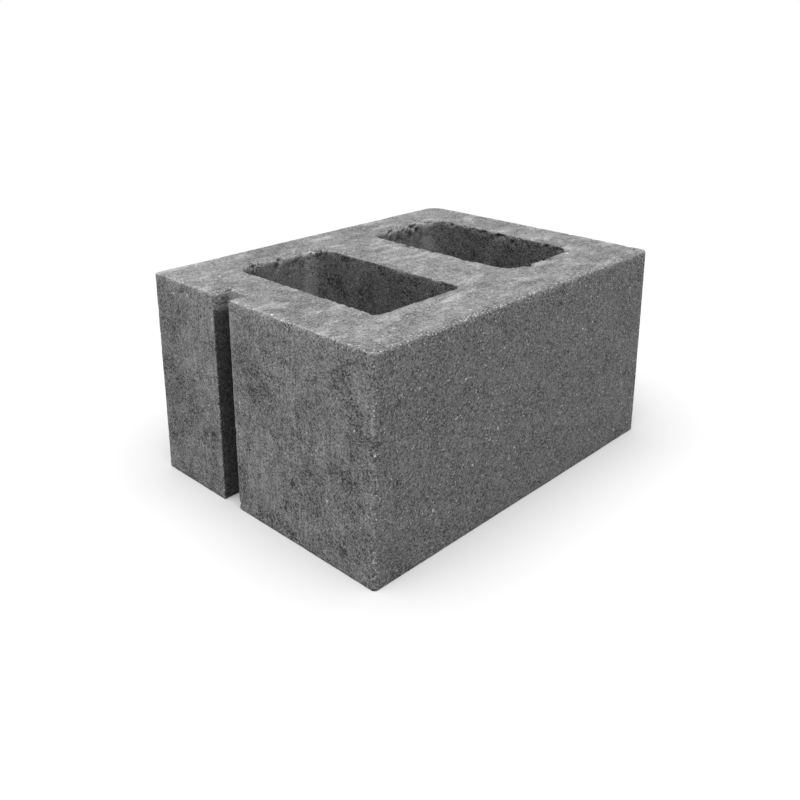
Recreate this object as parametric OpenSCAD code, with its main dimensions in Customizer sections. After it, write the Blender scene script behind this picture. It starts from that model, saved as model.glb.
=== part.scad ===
// Hollow concrete masonry block with two through cores and a sash groove in one end.
// Millimetres. Origin at the middle of the bed face, +X towards the plain end, +Z up.

/* [Block] */
// Length of the block, along the wall
block_length = 390; // [330:1:500]
// Width of the block, through the wall
block_width = 290; // [240:1:360]
// Height of the block, one course
block_height = 200; // [90:1:250]

/* [Webs] */
// Thickness of the web at the grooved end
groove_web = 61; // [35:1:80]
// Thickness of the web between the two cores
centre_web = 73; // [30:1:110]
// Thickness of the web at the plain end
plain_web = 51; // [25:1:80]

/* [Shells] */
// Thickness of the front shell, on the -Y side
front_shell = 57; // [25:1:80]
// Thickness of the back shell, on the +Y side
back_shell = 44; // [20:1:80]

/* [Cores] */
// Radius of the rounded corners of both cores
core_corner = 22; // [8:1:30]
// Radius of the two tight front corners of the core beside the groove
tight_corner = 6; // [2:1:20]

/* [Sash groove] */
// Width of the groove
groove_width = 23; // [10:1:60]
// Depth of the groove into the end of the block
groove_depth = 19; // [5:1:30]
// Distance from the back face of the block to the nearer wall of the groove
groove_inset = 93; // [40:1:150]

/* [Arrises] */
// Radius of the upright arrises
arris_radius = 4; // [1:0.5:12]
// Radius of the back arris at the plain end, which is rounder than the others
round_arris = 18; // [4:1:30]

/* [Hidden] */
$fn = 64;

// A cut runs this far past the faces that it opens
overcut = 5;

// The webs leave two equal cores, and the shells leave their width
core_length = (block_length - groove_web - centre_web - plain_web) / 2;
core_width = block_width - front_shell - back_shell;
groove_core_x = -block_length / 2 + groove_web;
plain_core_x = groove_core_x + core_length + centre_web;
core_y = -block_width / 2 + front_shell;

// A corner is never rounder than half of the side that it ends
core_radius = min(core_corner, core_length / 2 - 1);
tight_radius = min(tight_corner, core_length / 2 - 1);

groove_y = block_width / 2 - groove_inset - groove_width;

// What a round corner of radius r takes off a square one, with that corner at the origin
module corner_waste(r) {
    difference() {
        translate([-overcut, -overcut]) square(r + overcut);
        translate([r, r]) circle(r = r);
    }
}

// A rectangle from the origin, with its own radius at each corner:
// front left, front right, back right and back left
module rounded_rectangle(length, width, radii) {
    difference() {
        square([length, width]);
        corner_waste(radii[0]);
        translate([length, 0]) mirror([1, 0]) corner_waste(radii[1]);
        translate([length, width]) rotate(180) corner_waste(radii[2]);
        translate([0, width]) mirror([0, 1]) corner_waste(radii[3]);
    }
}

// The outside of the block in plan, with its four upright arrises
module block_plan() {
    translate([-block_length / 2, -block_width / 2])
        rounded_rectangle(block_length, block_width,
            [arris_radius, arris_radius, round_arris, arris_radius]);
}

// A core in plan, from its front left corner
module core_plan(front_radius) {
    rounded_rectangle(core_length, core_width,
        [front_radius, front_radius, core_radius, core_radius]);
}

// The groove in plan, open past the end of the block
module groove_plan() {
    translate([-block_length / 2 - overcut, groove_y])
        square([groove_depth + overcut, groove_width]);
}

// One casting: the outside less the two cores and the groove, all of them full height
module block() {
    color("dimgray")
        linear_extrude(height = block_height)
            difference() {
                block_plan();
                translate([groove_core_x, core_y]) core_plan(tight_radius);
                translate([plain_core_x, core_y]) core_plan(core_radius);
                groove_plan();
            }
}

block();
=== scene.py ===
import math
import bpy
import numpy as np
from mathutils import Matrix, Vector


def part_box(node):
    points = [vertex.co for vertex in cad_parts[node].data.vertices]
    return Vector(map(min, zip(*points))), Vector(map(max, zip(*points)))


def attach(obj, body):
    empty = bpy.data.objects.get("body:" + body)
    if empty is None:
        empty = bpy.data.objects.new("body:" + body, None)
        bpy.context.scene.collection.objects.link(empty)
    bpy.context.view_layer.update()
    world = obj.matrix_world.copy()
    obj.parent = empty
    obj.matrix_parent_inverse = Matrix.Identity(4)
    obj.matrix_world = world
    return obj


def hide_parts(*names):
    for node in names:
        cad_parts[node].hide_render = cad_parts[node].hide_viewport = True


# A hollow concrete masonry block with two through cores and a sash groove in one end,
# cast dry in dark grey concrete, standing on a pale studio floor.

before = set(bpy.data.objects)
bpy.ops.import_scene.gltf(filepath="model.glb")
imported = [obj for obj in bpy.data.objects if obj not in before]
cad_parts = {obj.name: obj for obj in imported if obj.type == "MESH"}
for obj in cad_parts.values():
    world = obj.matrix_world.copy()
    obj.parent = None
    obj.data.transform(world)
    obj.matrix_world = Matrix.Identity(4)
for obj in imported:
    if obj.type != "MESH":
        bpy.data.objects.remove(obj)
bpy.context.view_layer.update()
blockLow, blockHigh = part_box("block")
mm = 0.001


# noise worked out over whole arrays

def cellRandom(ix, iy, iz, seed):
    # a number from 0 to 1 for each whole-numbered cell, by stirring its three numbers together
    h = ix.astype(np.uint32) * np.uint32(374761393) + iy.astype(np.uint32) * np.uint32(668265263)
    h = h + iz.astype(np.uint32) * np.uint32(2246822519) + np.uint32(seed * 977 + 13)
    h = (h ^ (h >> np.uint32(15))) * np.uint32(2654435761)
    h = (h ^ (h >> np.uint32(13))) * np.uint32(3266489917)
    return (h ^ (h >> np.uint32(16))).astype(np.float64) / 4294967295.0


def softNoise(points, size, seed):
    # random values at the corners of cubes of this size, blended across each cube by
    # 3t^2 - 2t^3 in every direction, from -1 to 1
    place = points / size + 1000.0
    cell = np.floor(place).astype(np.int64)
    t = place - cell
    t = t * t * (3 - 2 * t)
    total = np.zeros(len(points))
    for k in range(8):
        dx, dy, dz = k & 1, k >> 1 & 1, k >> 2
        weight = (t[:, 0] if dx else 1 - t[:, 0]) * (t[:, 1] if dy else 1 - t[:, 1])
        weight = weight * (t[:, 2] if dz else 1 - t[:, 2])
        total += weight * cellRandom(cell[:, 0] + dx, cell[:, 1] + dy, cell[:, 2] + dz, seed)
    return total * 2 - 1


def layeredNoise(points, size, seed, layers=3, fade=0.55):
    # soft noise, plus half-sized copies of itself, each fainter than the last
    total, strength, full = np.zeros(len(points)), 1.0, 0.0
    for layer in range(layers):
        total += strength * softNoise(points, size / 2 ** layer, seed + layer * 7)
        full += strength
        strength *= fade
    return total / full


def scoops(points, size, chance, smallest, largest, seed):
    # one ball in some cells of a cubic lattice: a point inside a ball gets the height of
    # the bowl there, (1 - (distance / radius)^2) times the radius, and the deepest one wins
    place = points / size + 1000.0
    home = np.floor(place).astype(np.int64)
    deepest = np.zeros(len(points))
    for k in range(27):
        cell = home + np.array([k % 3 - 1, k // 3 % 3 - 1, k // 9 - 1])
        key = (cell[:, 0], cell[:, 1], cell[:, 2])
        middle = cell + np.stack([cellRandom(*key, seed + n) for n in (1, 2, 3)], axis=1)
        radius = smallest + (largest - smallest) * cellRandom(*key, seed + 4) ** 2
        there = cellRandom(*key, seed + 5) < chance
        apart = np.linalg.norm(place - middle, axis=1) * size / radius
        deepest = np.maximum(deepest, np.where(there, radius * (1 - apart ** 2), 0))
    return deepest


def smoothStep(value, low, high):
    # 3t^2 - 2t^3, where t goes from 0 at low to 1 at high
    t = np.clip((value - low) / (high - low), 0, 1)
    return t * t * (3 - 2 * t)


# the casting's outline in plan, with the CAD part's sizes

blockShape = {
    "grooveWeb": 61 * mm,        # web thicknesses, from the grooved end
    "centreWeb": 73 * mm,
    "plainWeb": 51 * mm,
    "frontShell": 57 * mm,       # shell thicknesses
    "backShell": 44 * mm,
    "coreCorner": 22 * mm,
    "tightCorner": 6 * mm,
    "grooveWidth": 23 * mm,
    "grooveDepth": 19 * mm,
    "grooveInset": 93 * mm,
    "arris": 4 * mm,
    "roundArris": 18 * mm,
    "fanOut": 8 * mm,            # how far the grid spreads on the core wall behind the groove
    "shellGuess": 50 * mm,       # a usual shell, for spacing the rows across the top and the bed
    "columnStep": 2.5 * mm,      # spacing of the grid round the outside
    "fineStep": 1.1 * mm,        # spacing of the rows beside an arris
    "wallStep": 3.8 * mm,        # spacing of the rows elsewhere
    "topStep": 2.8 * mm,
    "coreStep": 7.0 * mm,
    "bedStep": 8.0 * mm,
    "footStep": 1.5 * mm,        # spacing of the rows beside the bed, outside and in the cores
    "coreFootStep": 1.8 * mm,
    "stepGrowth": 0.16,          # how fast the spacing grows away from an arris
}

left, right = blockLow.x, blockHigh.x
front, back = blockLow.y, blockHigh.y
top = blockHigh.z
coreLength = (right - left - blockShape["grooveWeb"] - blockShape["centreWeb"] - blockShape["plainWeb"]) / 2
firstCore = (left + blockShape["grooveWeb"], left + blockShape["grooveWeb"] + coreLength)
secondCore = (right - blockShape["plainWeb"] - coreLength, right - blockShape["plainWeb"])
coreFront, coreBack = front + blockShape["frontShell"], back - blockShape["backShell"]
middleWeb = (firstCore[1] + secondCore[0]) / 2
grooveHigh = back - blockShape["grooveInset"]
grooveLow = grooveHigh - blockShape["grooveWidth"]
grooveEnd = left + blockShape["grooveDepth"]


def straight(start, end):
    # the points from start to end, one hundredth of the way apart
    t = np.linspace(0, 1, 101)[:, None]
    return np.array(start) * (1 - t) + np.array(end) * t


def corner(x, y, radius, fromAngle, toAngle):
    # an arc about (x, y): the centre plus the radius times the cosine and sine of the angle
    a = np.radians(np.linspace(fromAngle, toAngle, 101))
    return np.stack([x + radius * np.cos(a), y + radius * np.sin(a)], axis=1)


def walk(parts, count):
    # count points evenly spaced along the parts joined end to end, without the last point
    line = np.concatenate(parts)
    along = np.concatenate([[0], np.cumsum(np.linalg.norm(np.diff(line, axis=0), axis=1))])
    stops = np.linspace(0, along[-1], count + 1)[:-1]
    return np.stack([np.interp(stops, along, line[:, k]) for k in (0, 1)], axis=1)


def graded(length, firstStep, lastStep, step):
    # places from 0 to 1 whose spacing grows from firstStep at the start to step in the
    # middle and shrinks to lastStep at the end, by integrating one over the spacing
    x, growth = np.linspace(0, length, 4001), blockShape["stepGrowth"]
    spacing = np.minimum(firstStep + x * growth, lastStep + (length - x) * growth)
    spacing = np.minimum(step, spacing)
    count = np.concatenate([[0], np.cumsum((1 / spacing[1:] + 1 / spacing[:-1]) / 2 * np.diff(x))])
    rows = int(round(count[-1]))
    return np.interp(np.linspace(0, count[-1], rows + 1), count, x) / length


def steps(length):
    # how many columns a straight stretch of this length gets
    return max(1, int(round(length / blockShape["columnStep"])))


def groovedHalf():
    # pairs of outer and core stretches with their number of columns, walked from mid web round
    # the grooved end and back
    a, r, t = blockShape["arris"], blockShape["coreCorner"], blockShape["tightCorner"]
    (c0, c1), fan = firstCore, blockShape["fanOut"]
    turned = [corner(c1 - r, coreBack - r, r, 90, 0), straight((c1, coreBack - r), (c1, coreFront + t)),
              corner(c1 - t, coreFront + t, t, 0, -90)]
    return [
        ([straight((middleWeb, front), (left + a, front))],
         [straight((c1 - t, coreFront), (c0 + t, coreFront))], steps(middleWeb - left)),
        ([corner(left + a, front + a, a, 270, 180)], [corner(c0 + t, coreFront + t, t, 270, 180)], 8),
        ([straight((left, front + a), (left, grooveLow))],
         [straight((c0, coreFront + t), (c0, grooveLow - fan))], steps(grooveLow - front)),
        ([straight((left, grooveLow), (grooveEnd, grooveLow))],
         [straight((c0, grooveLow - fan), (c0, grooveLow))], 10),
        ([straight((grooveEnd, grooveLow), (grooveEnd, grooveHigh))],
         [straight((c0, grooveLow), (c0, grooveHigh))], 13),
        ([straight((grooveEnd, grooveHigh), (left, grooveHigh))],
         [straight((c0, grooveHigh), (c0, grooveHigh + fan))], 10),
        ([straight((left, grooveHigh), (left, back - a))],
         [straight((c0, grooveHigh + fan), (c0, coreBack - r))], steps(back - grooveHigh)),
        ([corner(left + a, back - a, a, 180, 90)], [corner(c0 + r, coreBack - r, r, 180, 90)], 12),
        ([straight((left + a, back), (middleWeb, back))],
         [straight((c0 + r, coreBack), (c1 - r, coreBack))], steps(middleWeb - left)),
        ([straight((middleWeb, back), (middleWeb, front))], turned, steps(back - front)),
    ]


def plainHalf():
    # the same for the plain end, walked the other way about
    a, d, r = blockShape["arris"], blockShape["roundArris"], blockShape["coreCorner"]
    c0, c1 = secondCore
    turned = [corner(c0 + r, coreBack - r, r, 90, 180), straight((c0, coreBack - r), (c0, coreFront + r)),
              corner(c0 + r, coreFront + r, r, 180, 270)]
    return [
        ([straight((middleWeb, front), (right - a, front))],
         [straight((c0 + r, coreFront), (c1 - r, coreFront))], steps(right - middleWeb)),
        ([corner(right - a, front + a, a, -90, 0)], [corner(c1 - r, coreFront + r, r, -90, 0)], 12),
        ([straight((right, front + a), (right, back - d))],
         [straight((c1, coreFront + r), (c1, coreBack - r))], steps(back - front)),
        ([corner(right - d, back - d, d, 0, 90)], [corner(c1 - r, coreBack - r, r, 0, 90)], 14),
        ([straight((right - d, back), (middleWeb, back))],
         [straight((c1 - r, coreBack), (c0 + r, coreBack))], steps(right - middleWeb)),
        ([straight((middleWeb, back), (middleWeb, front))], turned, steps(back - front)),
    ]


def ringGrid(stretches):
    # a closed profile (bed, outer wall, top, core wall) carried round the outline: each point is
    # outer * (1 - w) + core * w in plan, at the profile's height. The last stretch is mid web,
    # where the outer wall is left out so that the two halves join.
    outer = np.concatenate([walk(a, n) for a, b, n in stretches])
    core = np.concatenate([walk(b, n) for a, b, n in stretches])
    s, shell = blockShape, blockShape["shellGuess"]
    wall = graded(top, s["footStep"], s["fineStep"], s["wallStep"])
    across = graded(shell, s["fineStep"], s["fineStep"], s["topStep"])
    down = 1 - graded(top, s["coreFootStep"], s["fineStep"], s["coreStep"])[::-1]
    bed = graded(shell, s["coreFootStep"], s["footStep"], s["bedStep"])
    w = np.concatenate([1 - bed[:-1], wall[:-1] * 0, across[:-1], down[:-1] * 0 + 1])
    z = np.concatenate([bed[:-1] * 0, wall[:-1], across[:-1] * 0 + 1, 1 - down[:-1]]) * top
    x = outer[:, None, 0] * (1 - w) + core[:, None, 0] * w
    y = outer[:, None, 1] * (1 - w) + core[:, None, 1] * w
    points = np.stack([x, y, np.broadcast_to(z, x.shape)], axis=2)
    rows, cols = len(outer), len(w)
    i, j = np.meshgrid(np.arange(rows), np.arange(cols), indexing="ij")
    index = i * cols + j
    nextI, nextJ = np.roll(index, -1, axis=0), np.roll(index, -1, axis=1)
    quads = np.stack([index, nextI, np.roll(nextI, -1, axis=1), nextJ], axis=2)
    midWeb = i >= rows - stretches[-1][2]
    outerWall = (j >= len(bed) - 1) & (j < len(bed) + len(wall) - 2)
    quads = quads[~(midWeb & outerWall)]
    turning = np.cross(outer, np.roll(outer, -1, axis=0)).sum()   # its sign gives the way round
    return points.reshape(-1, 3), quads if turning > 0 else quads[:, ::-1]


def weld(parts):
    # puts the parts in one mesh and joins points that lie within a tenth of a micrometre
    points = np.concatenate([p for p, q in parts])
    start = np.cumsum([0] + [len(p) for p, q in parts])
    quads = np.concatenate([q + k for (p, q), k in zip(parts, start)])
    used = np.unique(quads)
    whole = np.round(points[used] * 1e7).astype(np.int64)
    _, first, same = np.unique(whole, axis=0, return_index=True, return_inverse=True)
    lookup = np.zeros(len(points), np.int64)
    lookup[used] = same.ravel()
    return points[used][first], lookup[quads]


# distances in plan

def roundedBox(x, y, low, high, radii):
    # distance to a rectangle with a radius at each corner, below zero inside:
    # front left, front right, back right, back left
    px, py = x - (low[0] + high[0]) / 2, y - (low[1] + high[1]) / 2
    r = np.where(py < 0, np.where(px < 0, radii[0], radii[1]), np.where(px < 0, radii[3], radii[2]))
    qx = np.abs(px) - (high[0] - low[0]) / 2 + r
    qy = np.abs(py) - (high[1] - low[1]) / 2 + r
    return np.minimum(np.maximum(qx, qy), 0) + np.hypot(np.maximum(qx, 0), np.maximum(qy, 0)) - r


def grooveDistance(x, y):
    # distance to the groove, which runs out past the end of the block
    return roundedBox(x, y, (left - 1, grooveLow), (grooveEnd, grooveHigh), (0, 0, 0, 0))


def outsideDepth(x, y):
    # how deep a place lies inside the outer outline, the groove counting as outside
    a, d = blockShape["arris"], blockShape["roundArris"]
    return np.minimum(-roundedBox(x, y, (left, front), (right, back), (a, a, d, a)), grooveDistance(x, y))


def coreDepths(x, y):
    # how far a place lies from each of the two cores
    t, r = blockShape["tightCorner"], blockShape["coreCorner"]
    first = roundedBox(x, y, (firstCore[0], coreFront), (firstCore[1], coreBack), (t, t, r, r))
    second = roundedBox(x, y, (secondCore[0], coreFront), (secondCore[1], coreBack), (r, r, r, r))
    return first, second


def nearestCore(x, y):
    # how far a place lies from the nearer core
    return np.minimum(*coreDepths(x, y))


def slope(depth, x, y):
    # the direction in which a depth grows, from differences a tenth of a millimetre apart
    e = 0.05 * mm
    gx = depth(x + e, y) - depth(x - e, y)
    gy = depth(x, y + e) - depth(x, y - e)
    size = np.maximum(np.hypot(gx, gy), 1e-12)
    return gx / size, gy / size


# rounding, wear and texture of the cast surface

castWear = {
    "sideArris": 2.2 * mm,       # how round the top arrises are
    "frontArris": 6.0 * mm,      # the front one is worn softer
    "bedArris": 1.6 * mm,
    "firstRim": 1.5 * mm,        # rims of the cores, from the grooved end
    "secondRim": 2.6 * mm,
    "backRim": 6.5 * mm,         # towards the back shell both rims are soft
    "uneven": 0.4,               # how much an arris varies along its length, and how slowly
    "unevenSize": 26 * mm,
    "edgeReach": 4 * mm,         # how far wear reaches from an arris
    "waviness": 0.45 * mm,       # depth and size of the slow wave
    "waveSize": 60 * mm,
    "grain": 0.2 * mm,           # depth and two sizes of the grain
    "grainSizes": (3.2 * mm, 5.5 * mm),
    "inset": 0.3 * mm,           # keeps the grain inside the block's sizes
    "rimTear": 5.0 * mm,         # how far the rims of the cores are torn, and in bits of what size
    "tearSize": 7 * mm,
    "firstTear": 0.2,            # share of that on the rims of the core beside the groove
    "pitCell": 13 * mm,          # pits: one in some cells of this size
    "pitRadius": (1.8 * mm, 4.2 * mm),
    "pitChance": 0.3,            # share of the cells that have a pit
    "pitDepth": 0.6,
    "chipCell": 7 * mm,          # chips along the arrises
    "chipRadius": (1.2 * mm, 3.4 * mm),
    "chipChance": 0.45,
    "chipDepth": 0.55,
    "tornCell": 8 * mm,          # the torn band under the rims, where the mould core was drawn
    "tornRadius": (2.2 * mm, 5.0 * mm),
    "tornReach": 16 * mm,
    "tornChance": 0.85,
    "tornDepth": 1.2,
}


def quarterTurn(depth, height, radius):
    # along the unfolded surface an arris lies where depth = height. Within one radius of it the
    # angle is 45 degrees * (1 + (depth - height) / radius), and the point moves to inset
    # radius * (1 - cos) and drop radius * (1 - sin), which is a quarter circle
    away = depth - height
    near = (np.abs(away) < radius) & (np.minimum(depth, height) < 1e-6)
    angle = math.pi / 4 * (1 + away / radius)
    inset = np.where(near, radius * (1 - np.cos(angle)) - depth, 0)
    drop = np.where(near, radius * (1 - np.sin(angle)), height)
    return inset, drop


def surfaceFacts(points):
    # what the wear and the colour need to know about each point of the square-edged casting
    x, y, z = points.T
    outer, (first, second) = outsideDepth(x, y), coreDepths(x, y)
    byOuter = outer < np.minimum(first, second)
    ox, oy = slope(outsideDepth, x, y)
    kx, ky = slope(nearestCore, x, y)
    facts = {"byOuter": byOuter, "inFirst": first < second, "drop": top - z}
    facts["depth"] = np.where(byOuter, outer, np.minimum(first, second))
    facts["inwardX"] = np.where(byOuter, ox, kx)      # the way into the concrete, in plan
    facts["inwardY"] = np.where(byOuter, oy, ky)
    facts["onTop"] = z > top - 1e-6
    facts["onBed"] = z < 1e-6
    facts["onWall"] = facts["depth"] < 1e-6
    facts["inGroove"] = byOuter * smoothStep(grooveDistance(x, y), 1 * mm, 0) * (x > left + 0.5 * mm)
    facts["frontFace"] = byOuter * np.clip(facts["inwardY"], 0, 1) ** 2
    facts["backRim"] = ~byOuter * np.clip(facts["inwardY"], 0, 1) ** 2
    reach = castWear["edgeReach"]
    edge = np.exp(-np.abs(facts["depth"] - facts["drop"]) / reach)
    edge *= facts["onTop"] | facts["onWall"]
    facts["rimEdge"], facts["arrisEdge"] = edge * ~byOuter, edge * byOuter
    uprights = np.zeros(len(points))
    for ux, uy in [(left, front), (right, front), (left, back), (left, grooveLow), (left, grooveHigh)]:
        uprights = np.maximum(uprights, np.exp(-np.hypot(x - ux, y - uy) / reach))
    facts["arrisEdge"] = np.maximum(facts["arrisEdge"], uprights)
    return facts


def roundArrises(points, facts):
    # moves the points beside the top and bottom arrises onto quarter circles whose radius
    # wanders by a slow noise
    wear, depth, byOuter = castWear, facts["depth"], facts["byOuter"]
    uneven = 1 + wear["uneven"] * layeredNoise(points * [1, 1, 0.3], wear["unevenSize"], 5, 4)
    outerRadius = wear["sideArris"] + (wear["frontArris"] - wear["sideArris"]) * facts["frontFace"]
    rimRadius = np.where(facts["inFirst"], wear["firstRim"], wear["secondRim"])
    rimRadius = rimRadius + (wear["backRim"] - rimRadius) * facts["backRim"]
    radius = np.where(byOuter, outerRadius, rimRadius) * uneven
    x, y, z = points.T.copy()
    inset, drop = quarterTurn(depth, facts["drop"], radius)
    lowInset, rise = quarterTurn(depth, points[:, 2], wear["bedArris"] * uneven)
    x += facts["inwardX"] * (inset + lowInset)
    y += facts["inwardY"] * (inset + lowInset)
    z = np.where(facts["drop"] < top / 2, top - drop, rise)
    return np.stack([x, y, z], axis=1)


def faceNormals(points, quads):
    # half the cross product of each quad's two diagonals
    a, b, c, d = (points[quads[:, k]] for k in range(4))
    return np.cross(c - a, d - b) / 2


def pointNormals(points, quads):
    # the sum of the faces round each point, made one long
    area = faceNormals(points, quads)
    total = np.zeros_like(points)
    for k in range(4):
        for axis in range(3):
            total[:, axis] += np.bincount(quads[:, k], area[:, axis], len(points))
    return total / np.maximum(np.linalg.norm(total, axis=1, keepdims=True), 1e-15)


def wearDepths(points, facts):
    # how far each point sinks, and how much of it is an open hollow: a slow wave, the grain,
    # torn rims, and the deepest of the pits, the chips and the torn band
    wear = castWear
    smoothTop = facts["onTop"] * (1 - facts["rimEdge"]) * (1 - facts["arrisEdge"])
    fine, coarse = wear["grainSizes"]
    wave = (layeredNoise(points, wear["waveSize"], 11) * 0.5 + 0.5) * wear["waviness"]
    grain = softNoise(points, fine, 23) * 0.6 + softNoise(points, coarse, 29) * 0.4
    grain *= wear["grain"]
    tear = smoothStep(layeredNoise(points, wear["tearSize"], 37, 3, 0.7), -0.05, 0.4) * wear["rimTear"]
    tear *= facts["rimEdge"] * np.where(facts["inFirst"], wear["firstTear"], 1)
    pits = scoops(points, wear["pitCell"], wear["pitChance"], *wear["pitRadius"], 41) * wear["pitDepth"]
    pits *= (1 - 0.8 * smoothTop) * (1 - 0.45 * facts["frontFace"])
    chips = scoops(points, wear["chipCell"], wear["chipChance"], *wear["chipRadius"], 53)
    chips *= facts["arrisEdge"] * wear["chipDepth"]
    band = np.exp(-facts["drop"] / wear["tornReach"]) * facts["onWall"] * ~facts["byOuter"]
    band *= np.where(facts["inFirst"], 0.25 + 0.5 * facts["backRim"], 0.55 + 0.45 * facts["backRim"])
    torn = scoops(points, wear["tornCell"], wear["tornChance"], *wear["tornRadius"], 67)
    torn *= band * wear["tornDepth"]
    hollow = np.maximum(np.maximum(pits, chips), torn)
    sink = wave + grain * (1 - 0.5 * smoothTop) + wear["inset"] + tear + hollow
    sink = np.where(facts["onBed"], np.maximum(wave * 0.3 + grain * 0.5, 0), sink)
    return sink, smoothStep(hollow + tear, 0.3 * mm, 2.6 * mm)


maskReach = {
    "topFade": 2.5 * mm,         # the struck top's tone ends over this much of a wall
    "frontFade": 12 * mm,        # and over this much more of the front face
    "coreFade": 10 * mm,         # the painted shade inside a core starts over this depth
    "paintedGrooveLight": (16 * mm, 19 * mm),   # where the painted light near the top of the groove's wall turns into painted shadow
    "pastyReach": 24 * mm,       # how far cement paste runs down the walls from the top
}


def surfaceMasks(facts, hollow):
    # the named numbers that the concrete's colour and bump read, from 0 to about 1
    depth, drop, byOuter, reach = facts["depth"], facts["drop"], facts["byOuter"], maskReach
    frontFace = facts["frontFace"]
    fade = reach["topFade"] + np.where(byOuter, reach["frontFade"] * frontFace, 0)
    # painted light near the top of the groove's wall, painted shadow below it
    lip = smoothStep(drop, *reach["paintedGrooveLight"])
    struck = smoothStep(depth - drop, -0.35 * fade, 0.65 * fade)
    # painted light on the cores' back walls fills the round back corner and ends sharply on the web
    turned = smoothStep(facts["inwardX"], -0.1, 0.3) * smoothStep(facts["inwardX"], 0.8, 0.6)
    wall = facts["onWall"] * ~facts["onBed"]
    return {
        "struckTop": struck,
        "blastedFace": frontFace * (1 - struck) * ~facts["onBed"],
        # painted shade inside the cores, fading in down from the rim
        "shadedCoreInside": ~byOuter * wall * smoothStep(drop, 0, reach["coreFade"]),
        "paintedGrooveShadow": facts["inGroove"] * lip,
        "paintedGrooveLight": facts["inGroove"] * (1 - lip) * wall,
        # painted light on the cores' back walls
        "paintedCoreBackLight": ~byOuter * wall * facts["backRim"] * (0.65 + 0.85 * turned),
        "pastyEdge": byOuter * wall * (1 - frontFace) * np.exp(-drop / reach["pastyReach"]),
        "wear": np.clip(facts["arrisEdge"], 0, 1) ** 1.5,
        "hollow": hollow,
    }


def meshPiece(name, points, quads, values):
    # puts points and quads in a mesh, with one number for each point under each name
    mesh = bpy.data.meshes.new(name)
    mesh.vertices.add(len(points))
    mesh.vertices.foreach_set("co", points.astype(np.float32).ravel())
    mesh.loops.add(quads.size)
    mesh.loops.foreach_set("vertex_index", quads.astype(np.int32).ravel())
    mesh.polygons.add(len(quads))
    mesh.polygons.foreach_set("loop_start", np.arange(0, quads.size, 4, dtype=np.int32))
    mesh.polygons.foreach_set("use_smooth", np.ones(len(quads), bool))
    for key, value in values.items():
        mesh.attributes.new(key, "FLOAT", "POINT").data.foreach_set("value", value.astype(np.float32))
    mesh.update(calc_edges=True)
    mesh.validate()
    piece = bpy.data.objects.new(name, mesh)
    bpy.context.scene.collection.objects.link(piece)
    return piece


def makeBlock():
    # the square-edged casting, its arrises rounded, then each point sunk along its normal
    flat, quads = weld([ringGrid(groovedHalf()), ringGrid(plainHalf())])
    facts = surfaceFacts(flat)
    base = roundArrises(flat, facts)
    sink, hollow = wearDepths(base, facts)
    shaped = base - pointNormals(base, quads) * sink[:, None]
    shaped = np.clip(shaped, np.array(blockLow), np.array(blockHigh))
    volume = (faceNormals(shaped, quads) * shaped[quads].mean(axis=1)).sum() / 3
    print("block:", len(flat), "points,", len(quads), "quads,", round(volume * 1000, 2), "litres")
    return meshPiece("castBlock", shaped, quads, surfaceMasks(facts, hollow))


# the concrete

def put(tree, kind, sockets=None, options=None):
    # adds a node, sets its options, then sets or links each of its sockets
    made = tree.nodes.new("ShaderNode" + kind)
    for key, value in (options or {}).items():
        setattr(made, key, value)
    for key, value in (sockets or {}).items():
        if isinstance(value, bpy.types.NodeSocket):
            tree.links.new(value, made.inputs[key])
        else:
            made.inputs[key].default_value = value
    return made


def maths(tree, what, a, b=0.0, c=0.0):
    # one Math node: what(a, b, c)
    return put(tree, "Math", {0: a, 1: b, 2: c}, {"operation": what}).outputs[0]


def ramp(tree, value, low, high, toLow=0.0, toHigh=1.0):
    # value from low to high turned smoothly into toLow to toHigh, and held beyond them
    found = put(tree, "MapRange", {"Value": value, "From Min": low, "From Max": high,
                                   "To Min": toLow, "To Max": toHigh}, {"interpolation_type": "SMOOTHSTEP"})
    return found.outputs["Result"]


def newGroup(name, inputs, outputs):
    # an empty shader group with a vector and number inputs, and number outputs
    tree = bpy.data.node_groups.new(name, "ShaderNodeTree")
    tree.interface.new_socket("Vector", in_out="INPUT", socket_type="NodeSocketVector")
    for key, value in inputs.items():
        socket = tree.interface.new_socket(key, in_out="INPUT", socket_type="NodeSocketFloat")
        socket.default_value = value
    for key in outputs:
        tree.interface.new_socket(key, in_out="OUTPUT", socket_type="NodeSocketFloat")
    return tree, tree.nodes.new("NodeGroupInput").outputs, tree.nodes.new("NodeGroupOutput").inputs


def placeGroup(tree, group, sockets):
    # a copy of a group, with its own values
    return put(tree, "Group", sockets, {"node_tree": group}).outputs


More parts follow.
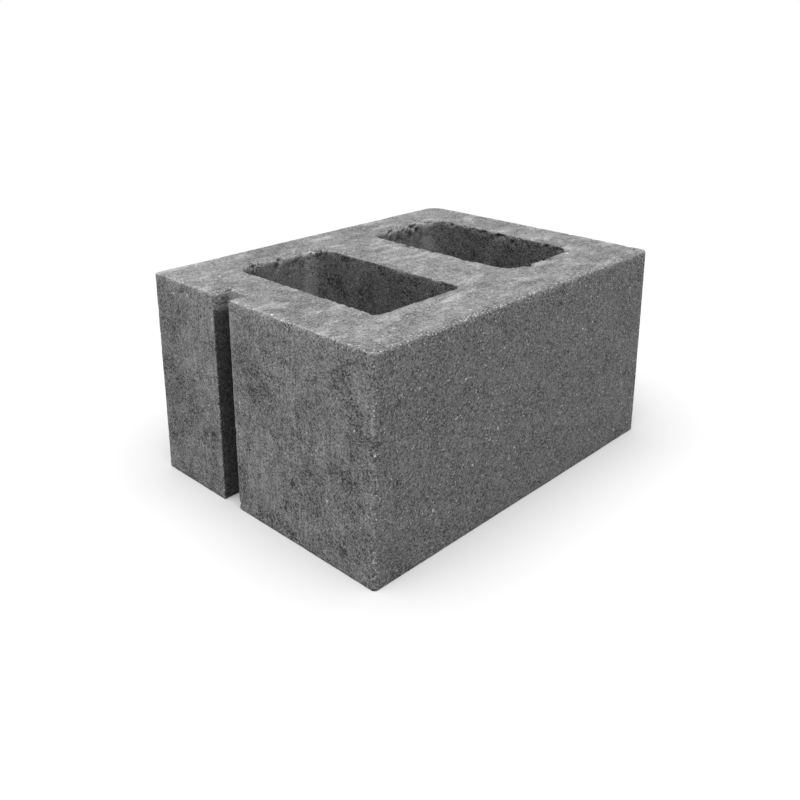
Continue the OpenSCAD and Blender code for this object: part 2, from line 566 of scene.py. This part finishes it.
def sandGroup():
    # sand grains: cells shaken out of line, with a tone each, rounded tops, and some of them
    # bright or dark
    tree, given, result = newGroup("sandGrains", {"Size": 0.0015, "Bright": 0.02, "Dark": 0.05},
                                   ["Tone", "Height", "Bright Grains", "Dark Grains"])
    scale = maths(tree, "DIVIDE", 1.0, given["Size"])
    shaken = put(tree, "TexNoise", {"Vector": given["Vector"], "Scale": scale, "Detail": 1.0})
    bend = put(tree, "VectorMath", {0: shaken.outputs["Color"], "Scale": given["Size"]},
               {"operation": "SCALE"})
    moved = put(tree, "VectorMath", {0: given["Vector"], 1: bend.outputs[0]}, {"operation": "ADD"})
    cells = put(tree, "TexVoronoi", {"Vector": moved.outputs[0], "Scale": scale})
    chance = put(tree, "SeparateColor", {"Color": cells.outputs["Color"]})
    tree.links.new(chance.outputs["Red"], result["Tone"])
    tree.links.new(ramp(tree, cells.outputs["Distance"], 0.0, 0.75, 1.0, 0.0), result["Height"])
    middle = ramp(tree, cells.outputs["Distance"], 0.2, 0.65, 1.0, 0.0)
    bright = maths(tree, "LESS_THAN", chance.outputs["Green"], given["Bright"])
    bright = maths(tree, "MULTIPLY", bright, maths(tree, "MULTIPLY_ADD", chance.outputs["Red"], 0.75, 0.25))
    dark = maths(tree, "LESS_THAN", chance.outputs["Blue"], given["Dark"])
    tree.links.new(maths(tree, "MULTIPLY", bright, middle), result["Bright Grains"])
    tree.links.new(maths(tree, "MULTIPLY", dark, middle), result["Dark Grains"])
    return tree


def voidGroup():
    # small open voids between the grains, where a warped noise falls under a level that a slower
    # noise raises in patches
    tree, given, result = newGroup("openVoids", {"Size": 0.004, "Amount": 0.5}, ["Void"])
    scale = maths(tree, "DIVIDE", 1.0, given["Size"])
    slow = maths(tree, "DIVIDE", 0.13, given["Size"])
    fine = put(tree, "TexNoise", {"Vector": given["Vector"], "Scale": scale, "Detail": 3.0,
                                  "Distortion": 0.8})
    patch = put(tree, "TexNoise", {"Vector": given["Vector"], "Scale": slow, "Detail": 2.0})
    level = maths(tree, "MULTIPLY_ADD", patch.outputs["Fac"], 0.75, -0.055)
    level = maths(tree, "MULTIPLY", level, maths(tree, "MULTIPLY_ADD", given["Amount"], 0.4, 0.9))
    under = maths(tree, "SUBTRACT", level, fine.outputs["Fac"])
    tree.links.new(ramp(tree, under, -0.012, 0.03), result["Void"])
    return tree


def mottleGroup():
    # cloudy light and dark from -1 to 1, from noise at one size and finer layers of it
    tree, given, result = newGroup("castMottle", {"Size": 0.03, "Detail": 4.0}, ["Cloud"])
    scale = maths(tree, "DIVIDE", 1.0, given["Size"])
    cloud = put(tree, "TexNoise", {"Vector": given["Vector"], "Scale": scale, "Detail": given["Detail"],
                                   "Roughness": 0.6})
    tree.links.new(ramp(tree, cloud.outputs["Fac"], 0.3, 0.7, -1.0, 1.0), result["Cloud"])
    return tree


concreteLook = {
    # the tone inside the cores is painted shade, the tone down the groove painted shadow
    "tones": {"cast": 0.171, "struckTop": 0.225, "blastedFace": 0.144, "shadedCoreInside": 0.133,
              "paintedGrooveShadow": 0.073},
    "sandSize": 0.00115,
    "stoneSize": 0.0028,
    "voidSize": 0.0026,
    "openBelow": 0.12,                       # the voids grow from this height down to the bed
    "cloudSizes": (0.09, 0.035, 0.011),      # three sizes of cloudy light and dark
    "dustScale": 800.0,
    "drawnScale": (380.0, 380.0, 20.0),      # marks drawn up the walls by the mould
    "struckScale": (24.0, 340.0, 340.0),     # scratches along the top from the strike-off bar
    "rubbedScale": (22.0, 45.0, 45.0),       # lighter places rubbed on the top
    "hollowShade": (0.65, 0.5),              # painted shade in the open voids and in the shaped hollows, how dark each is
    "roughness": 0.95,
    "specular": 0.3,
    "bumpDepth": 0.0007,
    "bumpStrength": 0.9,
}


def weighted(tree, start, parts):
    # start plus each value times its weight
    total = start
    for value, weight in parts:
        total = maths(tree, "MULTIPLY_ADD", value, weight, total)
    return total


def noiseOver(tree, place, scale, detail, roughness=0.5):
    # noise from -0.5 to 0.5 over a place stretched by its own scale for each axis
    spread = put(tree, "Mapping", {"Vector": place, "Scale": scale}).outputs["Vector"]
    found = put(tree, "TexNoise", {"Vector": spread, "Scale": 1.0, "Detail": detail, "Roughness": roughness})
    return maths(tree, "SUBTRACT", found.outputs["Fac"], 0.5)


def concreteMaterial():
    # each face's own tone, with painted shade inside the cores and painted shadow down the groove, times one
    # plus each variation by its strength, painted light on the groove's lip and the cores' back walls among
    # them, and darker with painted shade in the voids and hollows; the same grains, voids and scratches raise
    # and lower the bump
    look = concreteLook
    material = bpy.data.materials.new("darkConcrete")
    material.use_nodes = True
    tree = material.node_tree
    shader = tree.nodes["Principled BSDF"]
    place = put(tree, "TexCoord").outputs["Object"]
    names = ("struckTop", "blastedFace", "shadedCoreInside", "paintedGrooveShadow", "paintedGrooveLight", "paintedCoreBackLight", "pastyEdge",
             "wear", "hollow")
    mask = {key: put(tree, "Attribute", options={"attribute_name": key}).outputs["Fac"] for key in names}
    struckTop, blasted, inside = mask["struckTop"], mask["blastedFace"], mask["shadedCoreInside"]
    castOnly = weighted(tree, 1.0, [(struckTop, -1.0), (blasted, -1.0)])

    grains, mottle = sandGroup(), mottleGroup()
    brightShare = weighted(tree, 0.008, [(mask["wear"], 0.34), (blasted, 0.025)])
    sand = placeGroup(tree, grains, {"Vector": place, "Size": look["sandSize"],
                                     "Bright": brightShare, "Dark": 0.1})
    stones = placeGroup(tree, grains, {"Vector": place, "Size": look["stoneSize"],
                                       "Bright": 0.007, "Dark": 0.06})
    up = put(tree, "SeparateXYZ", {"Vector": place}).outputs["Z"]
    low = ramp(tree, up, look["openBelow"], 0.0)      # the foot of the walls is filled less well
    openness = weighted(tree, 0.2, [(struckTop, -0.6), (blasted, -0.2), (inside, 0.3), (low, 0.2)])
    holes = placeGroup(tree, voidGroup(), {"Vector": place, "Size": look["voidSize"],
                                           "Amount": openness})["Void"]
    shades, clouds, patches = (
        placeGroup(tree, mottle, {"Vector": place, "Size": size, "Detail": 5.0})["Cloud"]
        for size in look["cloudSizes"])
    dust = noiseOver(tree, place, (look["dustScale"],) * 3, 3.0, 0.7)
    struck = noiseOver(tree, place, look["struckScale"], 4.0)
    struck = maths(tree, "MULTIPLY", struck, struckTop)
    drawn = maths(tree, "MULTIPLY", noiseOver(tree, place, look["drawnScale"], 3.0),
                  ramp(tree, shades, -0.5, 0.6, 0.2, 1.3))
    drawn = maths(tree, "MULTIPLY", drawn, maths(tree, "SUBTRACT", castOnly, inside))
    rubbed = ramp(tree, noiseOver(tree, place, look["rubbedScale"], 5.0, 0.65), 0.0, 0.18)
    rubbed = maths(tree, "MULTIPLY", rubbed, struckTop)

    tones = look["tones"]
    tone = weighted(tree, tones["cast"], [(mask[key], tones[key] - tones["cast"])
                                          for key in tones if key != "cast"])
    vary = weighted(tree, 1.0, [
        (maths(tree, "SUBTRACT", sand["Tone"], 0.5), weighted(tree, 1.3, [(struckTop, -0.35)])),
        (maths(tree, "SUBTRACT", stones["Tone"], 0.5), 0.16),
        (dust, 0.6),
        (shades, weighted(tree, 0.0, [(castOnly, 0.13)])),
        (clouds, weighted(tree, 0.05, [(castOnly, 0.12), (struckTop, 0.12)])),
        (patches, weighted(tree, 0.05, [(castOnly, 0.13), (struckTop, 0.12)])),
        (drawn, 0.9),
        (struck, 0.5),
        (rubbed, 0.7),
        (mask["wear"], 0.2),
        (mask["pastyEdge"], 0.22),
        # painted light on the cores' back walls
        (mask["paintedCoreBackLight"], 1.0),
        # painted light near the top of the groove's wall
        (mask["paintedGrooveLight"], 0.45),
        (sand["Bright Grains"], 3.2),
        (stones["Bright Grains"], 2.4),
        (sand["Dark Grains"], -0.6),
    ])
    # painted shade in the open voids and the shaped hollows
    voidShade, hollowShade = look["hollowShade"]
    shade = maths(tree, "MULTIPLY", weighted(tree, 1.0, [(holes, -voidShade)]),
                  weighted(tree, 1.0, [(mask["hollow"], -hollowShade)]))
    shade = maths(tree, "MULTIPLY", maths(tree, "MAXIMUM", vary, 0.2), shade)
    final = maths(tree, "MULTIPLY", tone, shade)
    grey = put(tree, "CombineColor", {"Red": final, "Green": final, "Blue": final}).outputs["Color"]
    tree.links.new(grey, shader.inputs["Base Color"])

    # fresh grain faces and the struck top are a little less rough than the open matrix
    roughness = weighted(tree, look["roughness"], [(sand["Bright Grains"], -0.35), (struckTop, -0.07),
                                                   (clouds, -0.03)])
    tree.links.new(roughness, shader.inputs["Roughness"])
    shader.inputs["Specular IOR Level"].default_value = look["specular"]
    height = weighted(tree, 0.0, [(sand["Height"], 0.5), (dust, 0.6), (stones["Height"], 0.35), (struck, 0.5),
                                  (holes, -1.6)])
    bump = put(tree, "Bump", {"Height": height, "Distance": look["bumpDepth"],
                              "Strength": look["bumpStrength"]})
    tree.links.new(bump.outputs["Normal"], shader.inputs["Normal"])
    return material


print("block: shaping")
castBlock = makeBlock()
print("block: concrete")
castBlock.data.materials.append(concreteMaterial())
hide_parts("block")
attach(castBlock, "root")


# the studio

studio = {
    "floorSize": 30.0,
    "floorTone": 0.7,
    "azimuth": -46.08,
    "elevation": 16.96,
    "distance": 0.8966,
    "aside": -0.0111,
    "lift": 0.0812,
    "lens": 40.29,
    "shift": -0.1562,
    "sun": 4.0,
    "sunAngle": 63.0,            # a wide lamp, for soft shadows
    "sunTilt": (6.0, -10.0),     # towards the front and the grooved end, in degrees
    "sky": 0.25,
}


def makeFloor():
    # one pale square under the block
    half = studio["floorSize"] / 2
    mesh = bpy.data.meshes.new("floor")
    corners = [(-half, -half, 0), (half, -half, 0), (half, half, 0), (-half, half, 0)]
    mesh.from_pydata(corners, [], [(0, 1, 2, 3)])
    floor = bpy.data.objects.new("floor", mesh)
    bpy.context.scene.collection.objects.link(floor)
    material = bpy.data.materials.new("paleFloor")
    material.use_nodes = True
    shader = material.node_tree.nodes["Principled BSDF"]
    shader.inputs["Base Color"].default_value = (studio["floorTone"],) * 3 + (1,)
    shader.inputs["Roughness"].default_value = 0.9
    mesh.materials.append(material)


def makeLight():
    # one wide soft lamp almost overhead, and a faint even sky that the camera sees as white
    lamp = bpy.data.lights.new("overheadLight", "SUN")
    lamp.energy = studio["sun"]
    lamp.angle = math.radians(studio["sunAngle"])
    holder = bpy.data.objects.new("overheadLight", lamp)
    holder.rotation_euler = (math.radians(studio["sunTilt"][0]), math.radians(studio["sunTilt"][1]), 0)
    bpy.context.scene.collection.objects.link(holder)
    world = bpy.data.worlds.new("studioSky")
    world.use_nodes = True
    nodes, links = world.node_tree.nodes, world.node_tree.links
    sky = nodes["Background"]
    sky.inputs["Color"].default_value = (1, 1, 1, 1)
    sky.inputs["Strength"].default_value = studio["sky"]
    backdrop = nodes.new("ShaderNodeBackground")
    backdrop.inputs["Color"].default_value = (1, 1, 1, 1)
    seen, blend = nodes.new("ShaderNodeLightPath"), nodes.new("ShaderNodeMixShader")
    links.new(seen.outputs["Is Camera Ray"], blend.inputs["Fac"])
    links.new(sky.outputs["Background"], blend.inputs[1])
    links.new(backdrop.outputs["Background"], blend.inputs[2])
    links.new(blend.outputs["Shader"], nodes["World Output"].inputs["Surface"])
    bpy.context.scene.world = world


def makeCamera():
    # the camera looks along its own back axis from a point beside and above the block's middle
    a, e = math.radians(studio["azimuth"]), math.radians(studio["elevation"])
    away = Vector((math.sin(a) * math.cos(e), -math.cos(a) * math.cos(e), math.sin(e)))
    side = Vector((math.cos(a), math.sin(a), 0))
    up = away.cross(side)
    middle = (blockLow + blockHigh) / 2
    data = bpy.data.cameras.new("camera")
    data.lens = studio["lens"]
    data.shift_y = studio["shift"]
    data.clip_start = 0.01
    camera = bpy.data.objects.new("camera", data)
    place = middle + side * studio["aside"] + up * studio["lift"] + away * studio["distance"]
    turn = Matrix((side, up, away)).transposed().to_4x4()
    camera.matrix_world = Matrix.Translation(place) @ turn
    bpy.context.scene.collection.objects.link(camera)
    bpy.context.scene.camera = camera


print("studio")
makeFloor()
makeLight()
makeCamera()
bpy.context.scene.view_settings.view_transform = "Standard"
